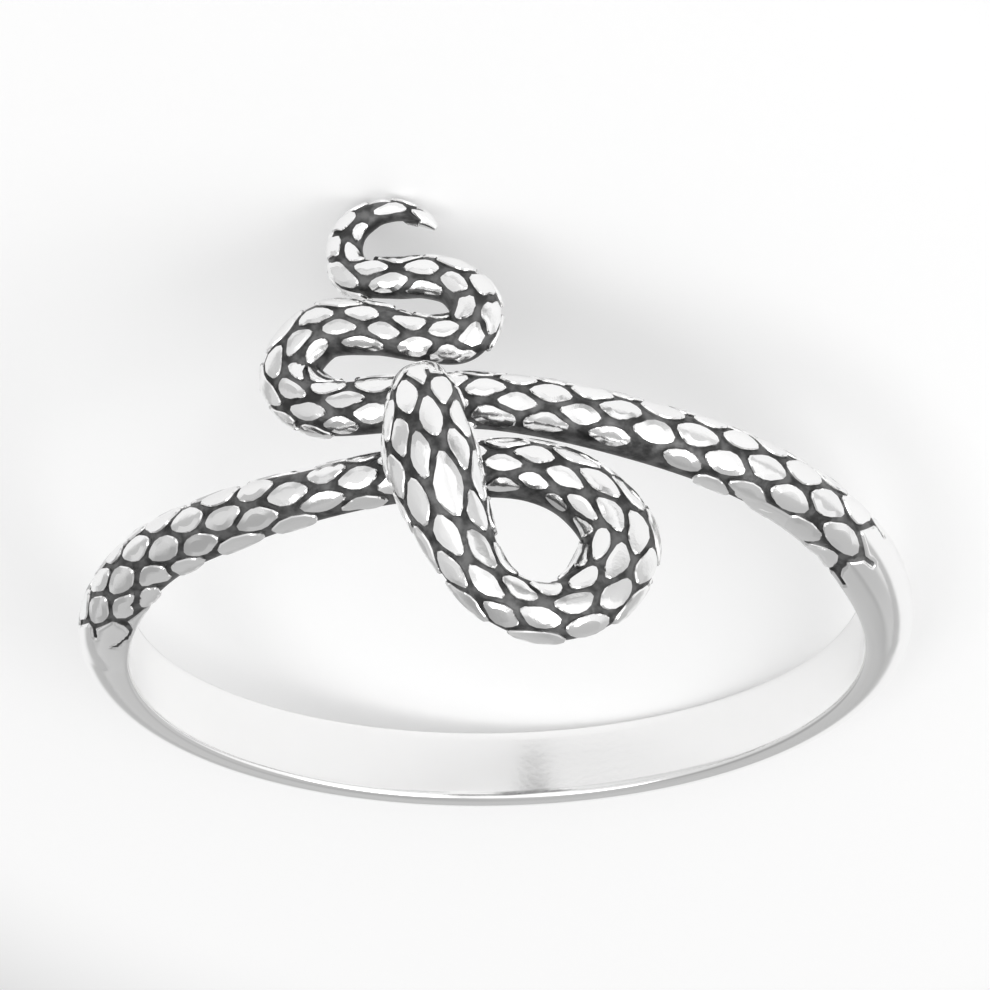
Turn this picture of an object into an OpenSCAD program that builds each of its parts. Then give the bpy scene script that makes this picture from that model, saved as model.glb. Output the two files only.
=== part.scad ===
// Snake wrap ring: one silver casting. A plain polished band turns into two scaled arms,
// one that loops forward into the snake's head and one that winds on into its tail.

/* [Finger] */
// Inside diameter of the band
finger_d = 17.3; // [16.5:0.1:18.5]

/* [Band] */
// Width of the plain band along the finger
band_w = 1.8; // [1.6:0.05:2]
// Thickness of the plain band at the middle of its width
band_t = 1.2; // [1.1:0.05:1.4]
// Rounding of the band's inner edges
inner_round = 0.12; // [0.05:0.01:0.2]

/* [Scales] */
// Scales in one round of the body
scales_round = 6; // [5:1:7]
// Depth of the groove between the scales
groove = 0.11; // [0.05:0.01:0.15]
// Height of a scale's crown over its edge
crown = 0.07; // [0:0.01:0.1]
// Half width of a scale as a share of its round
scale_half = 0.34; // [0.28:0.01:0.4]

/* [Resting on its side] */
// Turn of the ring about the finger's axis, so that the band touches down at its lowest point
rest_turn = 27; // [20:0.1:34]
// Lean of the finger's axis away from upright, between the band's rim and the tail's hook
rest_lean = 18.8; // [16:0.1:22]
// Turn on the surface, so that the head and the loop face the front
rest_yaw = 212.3; // [180:0.1:240]
// Middle of the finger's axis, measured from the origin under the middle of the ring
rest_place = [0, 0.76, 3.79];

/* [Hidden] */

finger_r = finger_d / 2;
// Angle above the widest point where the turned band ends inside the arms
band_end = 4;
// The finger's bore is cut true as far as the band is wide, and beyond it the body stays clear
cut_half = band_w / 2 + 0.05;
cut_overlap = 0.05;
clear_r = finger_r + 0.05;
cut_reach = 10;
// A scale's two tips sink a little towards the groove
tip_drop = groove / 3;
// Rows worked out for each one in a route's table
steps = 10;
// Half scales after which the head's body and the tail's are split, so that no length of
// either runs into itself
head_splits = [19, 33];
tail_splits = [27, 40];

// Columns of a route: angle round the finger from its top, place along the finger, height of
// the body's centre above the finger, width, thickness, half the length of a scale, how far the
// underside is squared off to lie on the finger, and how deep the grooves are cut
ANGLE = 0;
ALONG = 1;
LIFT = 2;
WIDE = 3;
THICK = 4;
PITCH = 5;
FLAT = 6;
CUT = 7;

// From the band up the left arm, round the loop and along the neck to the snout
head_route = [
    [-100, 0.00, 0.50, 1.80, 1.42, 0.60, 1.0, 0],
    [-92, 0.00, 0.50, 1.84, 1.42, 0.66, 1.0, 0],
    [-78, -0.08, 0.52, 1.60, 1.36, 0.72, 1.0, 1],
    [-58, -0.08, 0.54, 1.46, 1.36, 0.72, 0.9, 1],
    [-44, -0.18, 0.56, 1.42, 1.36, 0.72, 0.8, 1],
    [-28, -0.18, 0.56, 1.28, 1.32, 0.70, 0.7, 1],
    [-16, -0.12, 0.58, 1.26, 1.32, 0.65, 0.7, 1],
    [-6, -0.08, 0.60, 1.35, 1.36, 0.62, 0.6, 1],
    [5, -0.16, 0.62, 1.50, 1.40, 0.62, 0.5, 1],
    [12.5, -0.72, 0.68, 1.70, 1.44, 0.62, 0.3, 1],
    [17, -1.88, 0.85, 1.94, 1.46, 0.62, 0.0, 1],
    [13.5, -3.25, 1.08, 1.76, 1.46, 0.62, 0.0, 1],
    [6.5, -3.96, 1.35, 1.50, 1.46, 0.62, 0.0, 1],
    [-0.5, -3.58, 1.60, 1.42, 1.50, 0.65, 0.0, 1],
    [-4.8, -2.32, 1.85, 1.74, 1.60, 0.68, 0.0, 1],
    [-7.4, -0.76, 2.10, 2.20, 1.90, 0.72, 0.0, 1],
    [-8.3, 0.14, 2.12, 2.12, 1.85, 0.66, 0.0, 1],
    [-8.7, 0.96, 2.05, 1.82, 1.60, 0.45, 0.0, 1],
    [-9, 1.46, 1.95, 1.46, 1.25, 0.30, 0.0, 1],
    [-9, 1.84, 1.85, 0.98, 0.80, 0.25, 0.0, 1],
    [-9.2, 2.04, 1.80, 0.36, 0.30, 0.20, 0.0, 1],
];

// From the band up the right arm, under the head and through the bends of the tail
tail_route = [
    [100, 0.00, 0.50, 1.80, 1.42, 0.60, 1.0, 0],
    [87, 0.00, 0.50, 1.84, 1.42, 0.66, 1.0, 0],
    [72, 0.16, 0.52, 1.80, 1.42, 0.72, 1.0, 0],
    [60, 0.38, 0.54, 1.64, 1.38, 0.75, 0.9, 1],
    [48, 0.62, 0.55, 1.58, 1.36, 0.75, 0.8, 1],
    [37, 0.82, 0.56, 1.55, 1.36, 0.75, 0.7, 1],
    [20, 1.12, 0.58, 1.46, 1.34, 0.75, 0.7, 1],
    [-1, 1.60, 0.60, 1.38, 1.32, 0.72, 0.6, 1],
    [-14, 1.67, 0.64, 1.42, 1.32, 0.70, 0.4, 1],
    [-25, 1.86, 0.70, 1.44, 1.32, 0.66, 0.0, 1],
    [-30, 2.82, 0.72, 1.54, 1.34, 0.60, 0.0, 1],
    [-25, 3.73, 0.72, 1.52, 1.32, 0.55, 0.0, 1],
    [-17, 3.57, 0.70, 1.34, 1.26, 0.52, 0.0, 1],
    [-10, 3.20, 0.68, 1.20, 1.22, 0.52, 0.0, 1],
    [-4.6, 3.20, 0.66, 1.36, 1.20, 0.52, 0.0, 1],
    [-2.6, 3.88, 0.66, 1.36, 1.20, 0.55, 0.0, 1],
    [-5.2, 4.52, 0.64, 1.20, 1.16, 0.56, 0.0, 1],
    [-9.5, 4.78, 0.62, 1.12, 1.12, 0.58, 0.0, 1],
    [-14, 4.84, 0.60, 1.08, 1.08, 0.58, 0.0, 1],
    [-19.8, 5.08, 0.57, 1.05, 1.00, 0.52, 0.0, 1],
    [-21.5, 5.68, 0.55, 1.00, 0.96, 0.48, 0.0, 1],
    [-20.5, 6.24, 0.53, 0.90, 0.88, 0.48, 0.0, 1],
    [-17.3, 6.58, 0.50, 0.74, 0.78, 0.48, 0.0, 1],
    [-14.5, 6.63, 0.47, 0.64, 0.68, 0.45, 0.0, 1],
    [-12, 6.55, 0.43, 0.53, 0.58, 0.42, 0.0, 1],
    [-9.6, 6.35, 0.40, 0.38, 0.40, 0.36, 0.0, 1],
    [-8.1, 6.14, 0.37, 0.14, 0.14, 0.30, 0.0, 1],
];

// A route's row at share t of the way from row i to the next
function between(rows, i, t) =
    let (a = rows[max(i - 1, 0)], b = rows[i], c = rows[i + 1], d = rows[min(i + 2, len(rows) - 1)])
    0.5 * (2 * b + (c - a) * t + (2 * a - 5 * b + 4 * c - d) * t * t + (3 * b - a - 3 * c + d) * t * t * t);

// All of a route's rows, with steps rows for each one in its table
function fine(rows) = [
    for (i = [0 : len(rows) - 2], k = [0 : steps - 1]) between(rows, i, k / steps),
    rows[len(rows) - 1],
];

function centre(row) =
    let (r = finger_r + row[LIFT])
    [r * sin(row[ANGLE]), row[ALONG], r * cos(row[ANGLE])];

// Running count of half scales along the fine rows
function counts(rows) = [
    for (i = 0, n = 0; i < len(rows); i = i + 1,
        n = i < len(rows)
            ? n + norm(centre(rows[i]) - centre(rows[i - 1])) / ((rows[i][PITCH] + rows[i - 1][PITCH]) / 2)
            : n)
        n
];

function column(rows, keys, c) = [for (i = [0 : len(rows) - 1]) [keys[i], rows[i][c]]];

function unit(v) = v / norm(v);

// Sections four to each half scale: the centre, the half width and the half thickness as
// vectors, the power that squares off the underside, and the depth of the cut as a share
function sections(route) =
    let (
        rows = fine(route),
        keys = counts(rows),
        last = floor(keys[len(keys) - 1]),
        stretch = keys[len(keys) - 1] / last,
        columns = [for (c = [ANGLE : CUT]) column(rows, keys, c)],
        at = [for (i = [0 : 4 * last]) [for (c = columns) lookup(i / 4 * stretch, c)]],
        spine = [for (row = at) centre(row)]
    )
    [
        for (i = [0 : 4 * last])
        let (
            ahead = unit(spine[min(i + 1, 4 * last)] - spine[max(i - 1, 0)]),
            out = [spine[i][0], 0, spine[i][2]],
            up = unit(out - (out * ahead) * ahead)
        )
        [spine[i], cross(ahead, up) * at[i][WIDE] / 2, up * at[i][THICK] / 2, 1 - at[i][FLAT] / 2, at[i][CUT]]
    ];

function bent(x, power) = sign(x) * pow(abs(x), power);

// A point of the body's skin, sunk below it by a depth. The upper half is an ellipse
function skin(s, phi, sunk) =
    let (
        power = cos(phi) < 0 ? s[3] : 1,
        v = bent(sin(phi), power) * s[1] + bent(cos(phi), power) * s[2]
    )
    s[0] + v * (1 - s[4] * sunk / norm(v));

// Scaled body between two half scales of a route's sections. Each scale is a raised almond in a
// diamond of grooves, and the diamonds of one round fill the gaps of the next
module scaled_body(s, first, last) {
    n = scales_round;
    turn = 360 / n;
    rounds = last - first + 1;
    grooves = [
        for (i = [first - 1 : last + 1], j = [0 : n - 1])
            skin(s[4 * i], (j + (i % 2) / 2) * turn, groove)
    ];
    almond = [[3, 0], [1, 1], [-1, 1], [-3, 0], [-1, -1], [1, -1]];
    scales = [
        for (i = [first : last], j = [0 : n - 1])
        let (mid = (j + ((i + 1) % 2) / 2) * turn)
        each [
            for (p = almond)
                skin(s[4 * i + p[0]], mid + p[1] * scale_half * turn, abs(p[0]) == 3 ? tip_drop : 0),
            skin(s[4 * i], mid, -crown)
        ]
    ];
    ends = [s[4 * first - 2][0], s[4 * last + 2][0]];
    function g(i, j) = (i - first + 1) * n + (j + n) % n;
    function t(i, j, k) = (rounds + 2) * n + ((i - first) * n + j) * 7 + k;
    start = (rounds + 2) * n + rounds * n * 7;
    faces = [
        for (i = [first : last], j = [0 : n - 1])
        let (
            f = g(i + 1, j), b = g(i - 1, j), l = g(i, j - i % 2), r = g(i, j + 1 - i % 2),
            p = [for (k = [0 : 6]) t(i, j, k)]
        )
        each [
            [f, p[1], p[0]], [f, r, p[1]], [r, p[2], p[1]], [r, b, p[2]], [b, p[3], p[2]],
            [b, p[4], p[3]], [b, l, p[4]], [l, p[5], p[4]], [l, f, p[5]], [f, p[0], p[5]],
            for (k = [0 : 5]) [p[6], p[k], p[(k + 1) % 6]],
            if (i == first) each [[b, r, start], [l, b, start]],
            if (i == last) each [[r, f, start + 1], [f, l, start + 1]]
        ]
    ];
    polyhedron(concat(grooves, scales, ends), faces);
}

module along_finger() {
    rotate([90, 0, 0]) children();
}

// Half round outside, flat inside with rounded edges
module band_profile() {
    flat_w = band_w - 2 * inner_round;
    translate([finger_r + band_t - band_w / 2, 0])
        circle(d = band_w, $fn = 48);
    translate([finger_r + inner_round, -band_w / 2])
        square([band_t - band_w / 2 - inner_round, band_w]);
    translate([finger_r, -flat_w / 2])
        square([inner_round, flat_w]);
    for (side = [-1, 1])
        translate([finger_r + inner_round, side * flat_w / 2])
            circle(r = inner_round, $fn = 24);
}

module band() {
    along_finger()
        rotate([0, 0, 180 - band_end])
            rotate_extrude(angle = 180 + 2 * band_end, $fn = 180)
                difference() {
                    band_profile();
                    translate([0, -band_w]) square([finger_r, 2 * band_w]);
                }
}

// The head's body and the tail's, each in three lengths that don't run into themselves
module snake() {
    head = sections(head_route);
    tail = sections(tail_route);
    head_ends = [0, each head_splits, (len(head) - 1) / 4 - 1];
    tail_ends = [0, each tail_splits, (len(tail) - 1) / 4 - 1];
    for (k = [0 : 2]) {
        scaled_body(head, head_ends[k] + 1, head_ends[k + 1]);
        scaled_body(tail, tail_ends[k] + 1, tail_ends[k + 1]);
    }
}

// Room for the finger on both sides of the band's width
module finger_room() {
    for (side = [-1, 1])
        translate([0, side * (cut_half + cut_reach / 2), 0])
            along_finger() cylinder(r = clear_r, h = cut_reach, center = true, $fn = 144);
}

module laid_down() {
    translate(rest_place)
        rotate([0, 0, rest_yaw])
            rotate([rest_lean - 90, 0, 0])
                rotate([0, rest_turn, 0])
                    children();
}

module snake_ring() {
    color("silver")
        laid_down()
            difference() {
                union() {
                    band();
                    resize([0, 0, 0])
                        difference() {
                            snake();
                            finger_room();
                        }
                }
                along_finger() cylinder(r = finger_r, h = 2 * (cut_half + cut_overlap), center = true, $fn = 180);
            }
}

snake_ring();
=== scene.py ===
"""The looks of a silver snake wrap ring, dressed round its packed construction.

The tables hold millimetres and degrees in the ring's worn place: the finger lies along Y through
the origin, the snake is on top at +Z, and +X points to the right arm. LaidDown puts the finished
meshes where the construction lies on the floor, in metres.
"""

import logging
import math
import random
from dataclasses import dataclass
from enum import Enum
from typing import Callable, NamedTuple, Union

import bmesh
import bpy
import numpy as np
from mathutils import Matrix, Vector


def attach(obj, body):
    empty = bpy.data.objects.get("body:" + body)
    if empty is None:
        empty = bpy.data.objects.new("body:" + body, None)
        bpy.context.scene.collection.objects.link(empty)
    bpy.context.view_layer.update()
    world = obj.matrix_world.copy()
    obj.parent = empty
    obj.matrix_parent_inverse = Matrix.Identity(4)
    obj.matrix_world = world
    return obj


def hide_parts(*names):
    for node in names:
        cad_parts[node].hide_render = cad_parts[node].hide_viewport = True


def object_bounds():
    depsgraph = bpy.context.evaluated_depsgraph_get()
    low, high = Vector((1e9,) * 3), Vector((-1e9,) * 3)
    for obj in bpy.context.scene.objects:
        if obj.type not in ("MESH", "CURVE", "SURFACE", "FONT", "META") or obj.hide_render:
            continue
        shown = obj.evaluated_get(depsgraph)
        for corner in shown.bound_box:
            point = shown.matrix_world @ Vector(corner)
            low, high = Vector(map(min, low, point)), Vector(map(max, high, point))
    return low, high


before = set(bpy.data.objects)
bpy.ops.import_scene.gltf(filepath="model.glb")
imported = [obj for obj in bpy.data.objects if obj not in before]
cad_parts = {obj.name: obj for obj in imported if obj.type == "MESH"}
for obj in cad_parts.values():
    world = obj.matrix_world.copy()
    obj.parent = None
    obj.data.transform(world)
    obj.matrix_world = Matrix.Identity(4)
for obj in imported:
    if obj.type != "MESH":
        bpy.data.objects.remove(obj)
CAD_BOX = [list(corner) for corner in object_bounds()]

LOG = logging.getLogger("snake_ring")
NODE = "snake_ring"
BODY = "root"

MM = 0.001
FINGER_R = 8.65
# How far a skin that meets the finger's bore stays outside it
BORE_SKIN = 0.005


@dataclass(frozen=True)
class LaidDown:
    """The turns and the place that lay the worn ring on its side, with the tail's hook down.

    Attributes:
        turn: Turn about the finger's axis.
        lean: Lean of that axis away from upright.
        yaw: Turn on the floor.
        place: Middle of the finger's axis.
    """

    turn: float = 27.0
    lean: float = 18.8
    yaw: float = 212.3
    place: tuple[float, float, float] = (0.0, 0.76, 3.79)

    def matrix(self) -> Matrix:
        """Works out how the ring lies.

        Returns:
            The matrix from worn millimetres to the floor's metres.
        """
        turned = Matrix.Rotation(math.radians(self.turn), 4, "Y")
        leaned = Matrix.Rotation(math.radians(self.lean - 90), 4, "X")
        yawed = Matrix.Rotation(math.radians(self.yaw), 4, "Z")
        return Matrix.Scale(MM, 4) @ Matrix.Translation(self.place) @ yawed @ leaned @ turned


REST = LaidDown()


def in_scene(name: str, data: bpy.types.ID) -> bpy.types.Object:
    """Adds an object to the scene.

    Args:
        name: The object's name.
        data: Its mesh, light or camera.

    Returns:
        The object.
    """
    thing = bpy.data.objects.new(name, data)
    bpy.context.scene.collection.objects.link(thing)
    return thing


@dataclass(frozen=True)
class PhotoView:
    """The camera at the photograph's angle, which sees the ring as it lies on its side.

    Attributes:
        elevation: Angle over the floor.
        roll: Turn about its own axis, which stands the band below the snake in the picture.
        distance: Distance from the middle of the finger's axis.
        lens: Focal length over the sensor's width.
        target: The point in the middle of the picture.
        sensor: Width of the sensor.
        pixels: Width and height of the picture.
    """

    elevation: float = 39.64
    roll: float = -170.16
    distance: float = 250.0
    lens: float = 385.4
    target: tuple[float, float, float] = (0.55, -1.17, 1.46)
    sensor: float = 36.0
    pixels: int = 990

    def matrix(self) -> Matrix:
        """Works out where the camera stands.

        Returns:
            Its place and turn.
        """
        tilt = math.radians(self.elevation)
        middle, target = Vector(REST.place) * MM, Vector(self.target) * MM
        place = middle + Vector((0, -math.cos(tilt), math.sin(tilt))) * self.distance * MM
        looking = (target - place).to_track_quat("-Z", "Y").to_matrix().to_4x4()
        return Matrix.Translation(place) @ looking @ Matrix.Rotation(math.radians(self.roll), 4, "Z")

    def project(self, points: np.ndarray) -> tuple[np.ndarray, np.ndarray]:
        """Finds where the picture shows worn points.

        Args:
            points: The points, in worn millimetres.

        Returns:
            Their pixels, and their depths in millimetres, which are higher nearer to the camera.
        """
        to_camera = np.array(self.matrix().inverted() @ REST.matrix())
        seen = points @ to_camera[:3, :3].T + to_camera[:3, 3]
        scale = self.lens / self.sensor * self.pixels / -seen[..., 2]
        right = self.pixels / 2 + seen[..., 0] * scale
        down = self.pixels / 2 - seen[..., 1] * scale
        return np.stack([right, down], -1), seen[..., 2] / MM

    def build(self) -> None:
        """Puts the camera in place."""
        data = bpy.data.cameras.new("photo_view")
        data.lens = self.lens
        data.sensor_width = self.sensor
        data.clip_start = 0.01
        data.clip_end = 10
        camera = in_scene("photo_view", data)
        camera.matrix_world = self.matrix()
        bpy.context.scene.camera = camera


VIEW = PhotoView()


class Row(NamedTuple):
    """One section in a route's table.

    Attributes:
        angle: Angle round the finger from its top.
        along: Place along the finger.
        lift: Height of the body's middle over the finger.
        wide: Width of the body.
        thick: Thickness of the body.
        flat: How far the underside is squared off, from 0 to 1.
        band: Share of the plain band's profile, from 0 to 1.
        step: Half the length from one scale to the next of its line.
        twist: Turn of the lines of scales round the body.
    """

    angle: float
    along: float
    lift: float
    wide: float
    thick: float
    flat: float
    band: float
    step: float
    twist: float


class BandProfile:
    """The plain band's section: half round outside, flat inside with rounded edges."""

    width = 1.8
    thickness = 1.2
    inner_round = 0.12
    # Height over the finger of the point that the section is seen from
    middle = 0.5
    arc_points = 60
    side_points = 12
    inside_points = 23

    def __init__(self) -> None:
        """Traces the profile once and keeps its radius for each turn about its middle."""
        half = self.width / 2
        arc = np.radians(np.linspace(0, 90, self.arc_points))
        outer = np.stack([half * np.sin(arc), self.thickness - half + half * np.cos(arc)], 1)
        heights = np.linspace(outer[-1, 1], self.inner_round, self.side_points + 2)[1:-1]
        side = np.stack([np.full(self.side_points, half), heights], 1)
        corner = self.inner_round * np.stack([np.cos(arc), -np.sin(arc)], 1)
        corner += [half - self.inner_round, self.inner_round]
        widths = np.linspace(corner[-1, 0], 0, self.inside_points + 1)[1:]
        inside = np.stack([widths, np.zeros(self.inside_points)], 1)
        points = np.concatenate([outer, side, corner, inside]) - [0, self.middle]
        self.turns = np.degrees(np.arctan2(points[:, 0], points[:, 1]))
        self.radii = np.hypot(points[:, 0], points[:, 1])

    def radius(self, turn: np.ndarray) -> np.ndarray:
        """Gives the profile's distance from its middle.

        Args:
            turn: Turns from the outward direction, in degrees.

        Returns:
            The distances.
        """
        wrapped = np.abs((turn + 180) % 360 - 180)
        return np.interp(wrapped, self.turns, self.radii)


PROFILE = BandProfile()


class Route:
    """A body's path round the finger, with its section and its lines of scales at every place.

    Places are counted in half scales, so that one round of scales lies at each whole number.

    Attributes:
        fine_rows: Rows worked out for each row of the table.
        sunk: Height under which the skin lies in the grooves.
        sunk_skins: How many BORE_SKINs such skin stays off the finger.
        least_pitch: Least millimetres for one place along the body and for one degree round it.
    """

    fine_rows = 24
    sunk = -0.04
    sunk_skins = 4
    least_pitch = (0.3, 0.003)

    def __init__(self, rows: tuple[Row, ...], lead: float, turn: float) -> None:
        """Works out the fine rows and their count.

        Args:
            rows: The route's table.
            lead: The count at the table's first row.
            turn: Turn of the lines of scales at the start.
        """
        table = np.array(rows, float)
        steps = [(i, k / self.fine_rows) for i in range(len(table) - 1) for k in range(self.fine_rows)]
        self.rows = np.array([self._between(table, i, t) for i, t in steps] + [table[-1]])
        middle = self._middle(self.rows)
        length = np.linalg.norm(np.diff(middle, axis=0), axis=1)
        step = self.rows[:, Row._fields.index("step")]
        self.count = lead + np.concatenate([[0], np.cumsum(2 * length / (step[1:] + step[:-1]))])
        self.turn = turn

    @staticmethod
    def _between(table: np.ndarray, i: int, t: float) -> np.ndarray:
        """Returns the smooth row at share t of the way from row i to the next."""
        a, b, c, d = (table[min(max(i + k, 0), len(table) - 1)] for k in (-1, 0, 1, 2))
        cubic = (3 * b - a - 3 * c + d) * t**3
        return 0.5 * (2 * b + (c - a) * t + (2 * a - 5 * b + 4 * c - d) * t**2 + cubic)

    @staticmethod
    def _middle(rows: np.ndarray) -> np.ndarray:
        """Returns the body's middle for rows of the table."""
        radius, angle = FINGER_R + rows[..., 2], np.radians(rows[..., 0])
        return np.stack([radius * np.sin(angle), rows[..., 1], radius * np.cos(angle)], -1)

    @property
    def end(self) -> float:
        """Returns the count at the route's last row."""
        return float(self.count[-1])

    def at(self, place: np.ndarray) -> np.ndarray:
        """Returns the rows at places along the route."""
        place = np.asarray(place, float)
        return np.stack([np.interp(place, self.count, column) for column in self.rows.T], -1)

    def frame(self, place: np.ndarray) -> tuple[np.ndarray, np.ndarray, np.ndarray]:
        """Gives the body's middle and its directions.

        Args:
            place: Places along the route.

        Returns:
            The middle, the sideways direction and the outward direction.
        """
        reach = 0.2
        low = np.clip(place - reach, self.count[0], self.end - reach)
        high = np.clip(place + reach, self.count[0] + reach, self.end)
        middle = self._middle(self.at(place))
        ahead = self._middle(self.at(high)) - self._middle(self.at(low))
        ahead /= np.linalg.norm(ahead, axis=-1, keepdims=True)
        out = middle * [1, 0, 1]
        up = out - np.sum(out * ahead, -1, keepdims=True) * ahead
        up /= np.linalg.norm(up, axis=-1, keepdims=True)
        return middle, np.cross(ahead, up), up

    def skin(self, place: np.ndarray, turn: np.ndarray, height: np.ndarray) -> np.ndarray:
        """Gives points over the body's skin.

        Args:
            place: Places along the route.
            turn: Turns round the body from the outward direction, in degrees.
            height: Heights over the skin.

        Returns:
            The points, kept outside the finger's bore.
        """
        place, turn, height = (np.asarray(x, float) for x in (place, turn, height))
        row = Row(*np.moveaxis(self.at(place), -1, 0))
        middle, side, up = self.frame(place)
        sine, cosine = np.sin(np.radians(turn)), np.cos(np.radians(turn))
        power = np.where(cosine < 0, 1 - np.clip(row.flat, 0, 1) / 2, 1.0)
        across = np.sign(sine) * np.abs(sine) ** power * row.wide / 2
        outward = np.sign(cosine) * np.abs(cosine) ** power * row.thick / 2
        share, radius = np.clip(row.band, 0, 1), PROFILE.radius(turn)
        across = across * (1 - share) + radius * sine * share
        outward = outward * (1 - share) + radius * cosine * share
        rise = 1 + height / np.maximum(np.hypot(across, outward), 1e-6)
        points = middle + (across * rise)[..., None] * side + (outward * rise)[..., None] * up
        radial = np.hypot(points[..., 0], points[..., 2])
        gap = np.where(height < self.sunk, self.sunk_skins * BORE_SKIN, BORE_SKIN) * (share < 1)
        pushed = np.maximum(radial, FINGER_R + gap) / radial
        points[..., 0] *= pushed
        points[..., 2] *= pushed
        return points

    def facing(self, place: float, turn: float) -> float:
        """Tells how squarely the skin faces the camera.

        Args:
            place: A place along the route.
            turn: A turn round the body.

        Returns:
            1 where it faces the camera, -1 where it faces the other way.
        """
        step, degree, lift = 0.02, 1, 0.1
        ahead = self.skin(place + step, turn, 0.0) - self.skin(place - step, turn, 0.0)
        round_ = self.skin(place, turn + degree, 0.0) - self.skin(place, turn - degree, 0.0)
        out = np.cross(ahead, round_)
        out *= np.sign(out @ (self.skin(place, turn, lift) - self.skin(place, turn, 0.0)))
        to_camera = np.array((REST.matrix().inverted() @ VIEW.matrix()).translation)
        return float(out @ to_camera / np.linalg.norm(out) / np.linalg.norm(to_camera))

    def pitch(self, place: np.ndarray, turn: np.ndarray) -> tuple[np.ndarray, np.ndarray]:
        """Measures the skin at places and turns.

        Args:
            place: Places along the route.
            turn: Turns round the body.

        Returns:
            The millimetres for one place along the body and for one degree round it.
        """
        ahead, round_ = 0.12, 4.0
        along = self.skin(place + ahead, turn, 0.0) - self.skin(place - ahead, turn, 0.0)
        around = self.skin(place, turn + round_, 0.0) - self.skin(place, turn - round_, 0.0)
        along = np.linalg.norm(along, axis=-1) / (2 * ahead)
        around = np.linalg.norm(around, axis=-1) / (2 * round_)
        return np.maximum(along, self.least_pitch[0]), np.maximum(around, self.least_pitch[1])

    def find(self, pixels: tuple[tuple[int, int], ...]) -> list[tuple[float, float]]:
        """Finds the places and turns where the photograph's pixels see the body.

        Args:
            pixels: The pixels.

        Returns:
            The place and the turn of each.
        """
        place_step, turn_step = 0.05, 3.0
        least_reach, slack, behind = 2.0, 0.5, 0.25
        spans = round((self.end - self.count[0]) / place_step)
        places, turns = np.linspace(self.count[0], self.end, spans), np.arange(-180, 180, turn_step)
        place, turn = np.meshgrid(places, turns)
        where, depth = VIEW.project(self.skin(place, turn, 0.0))
        found = []
        for pixel in pixels:
            away = np.hypot(where[..., 0] - pixel[0], where[..., 1] - pixel[1])
            reach = max(least_reach, away.min() + slack)
            front = depth[away < reach].max()
            away[depth < front - behind] = np.inf
            best = np.unravel_index(away.argmin(), away.shape)
            found.append((float(place[best]), float(turn[best])))
        return found

    def line(self, round_: int, index: int, around: int) -> float:
        """Returns the turn of one scale of a round; odd rounds fill the gaps of even ones."""
        twist = float(self.at(np.array(float(round_)))[Row._fields.index("twist")])
        return self.turn + twist + (index + (round_ % 2) / 2) * 360 / around


HEAD_ROUTE = Route(
    rows=(
        Row(-100, 0.00, 0.50, 1.80, 1.42, 1.0, 1.0, 0.72, 0),
        Row(-92, 0.00, 0.50, 1.84, 1.42, 1.0, 1.0, 0.79, 0),
        Row(-78, -0.08, 0.52, 1.60, 1.36, 1.0, 0.0, 0.86, 0),
        Row(-58, -0.08, 0.54, 1.46, 1.36, 0.9, 0.0, 0.86, 0),
        Row(-44, -0.18, 0.56, 1.42, 1.36, 0.8, 0.0, 0.86, 0),
        Row(-28, -0.18, 0.56, 1.28, 1.32, 0.7, 0.0, 0.84, 0),
        Row(-16, -0.12, 0.58, 1.26, 1.32, 0.7, 0.0, 0.78, 0),
        Row(-6, -0.08, 0.60, 1.35, 1.36, 0.6, 0.0, 0.74, 0),
        Row(5, -0.16, 0.62, 1.50, 1.40, 0.5, 0.0, 0.74, 0),
        Row(12.5, -0.72, 0.68, 1.70, 1.44, 0.3, 0.0, 0.74, 0),
        Row(17, -1.88, 0.85, 1.94, 1.46, 0.0, 0.0, 0.74, 0),
        Row(13.5, -3.25, 1.08, 1.76, 1.46, 0.0, 0.0, 0.74, -13),
        Row(6.5, -3.96, 1.35, 1.50, 1.46, 0.0, 0.0, 0.74, -26),
        Row(-0.5, -3.58, 1.60, 1.42, 1.50, 0.0, 0.0, 0.78, -30),
        Row(-4.8, -2.32, 1.85, 1.74, 1.60, 0.0, 0.0, 0.82, -28),
        Row(-7.4, -0.76, 2.10, 2.20, 1.90, 0.0, 0.0, 0.86, -24),
        Row(-8.3, 0.14, 2.12, 2.12, 1.85, 0.0, 0.0, 0.79, -24),
        Row(-8.7, 0.96, 2.05, 1.82, 1.60, 0.0, 0.0, 0.54, -24),
        Row(-9, 1.46, 1.95, 1.46, 1.25, 0.0, 0.0, 0.40, -24),
        Row(-9, 1.84, 1.85, 0.98, 0.80, 0.0, 0.0, 0.30, -24),
        Row(-9.2, 2.04, 1.80, 0.36, 0.30, 0.0, 0.0, 0.24, -24),
    ),
    lead=0.24,
    turn=12,
)

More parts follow.
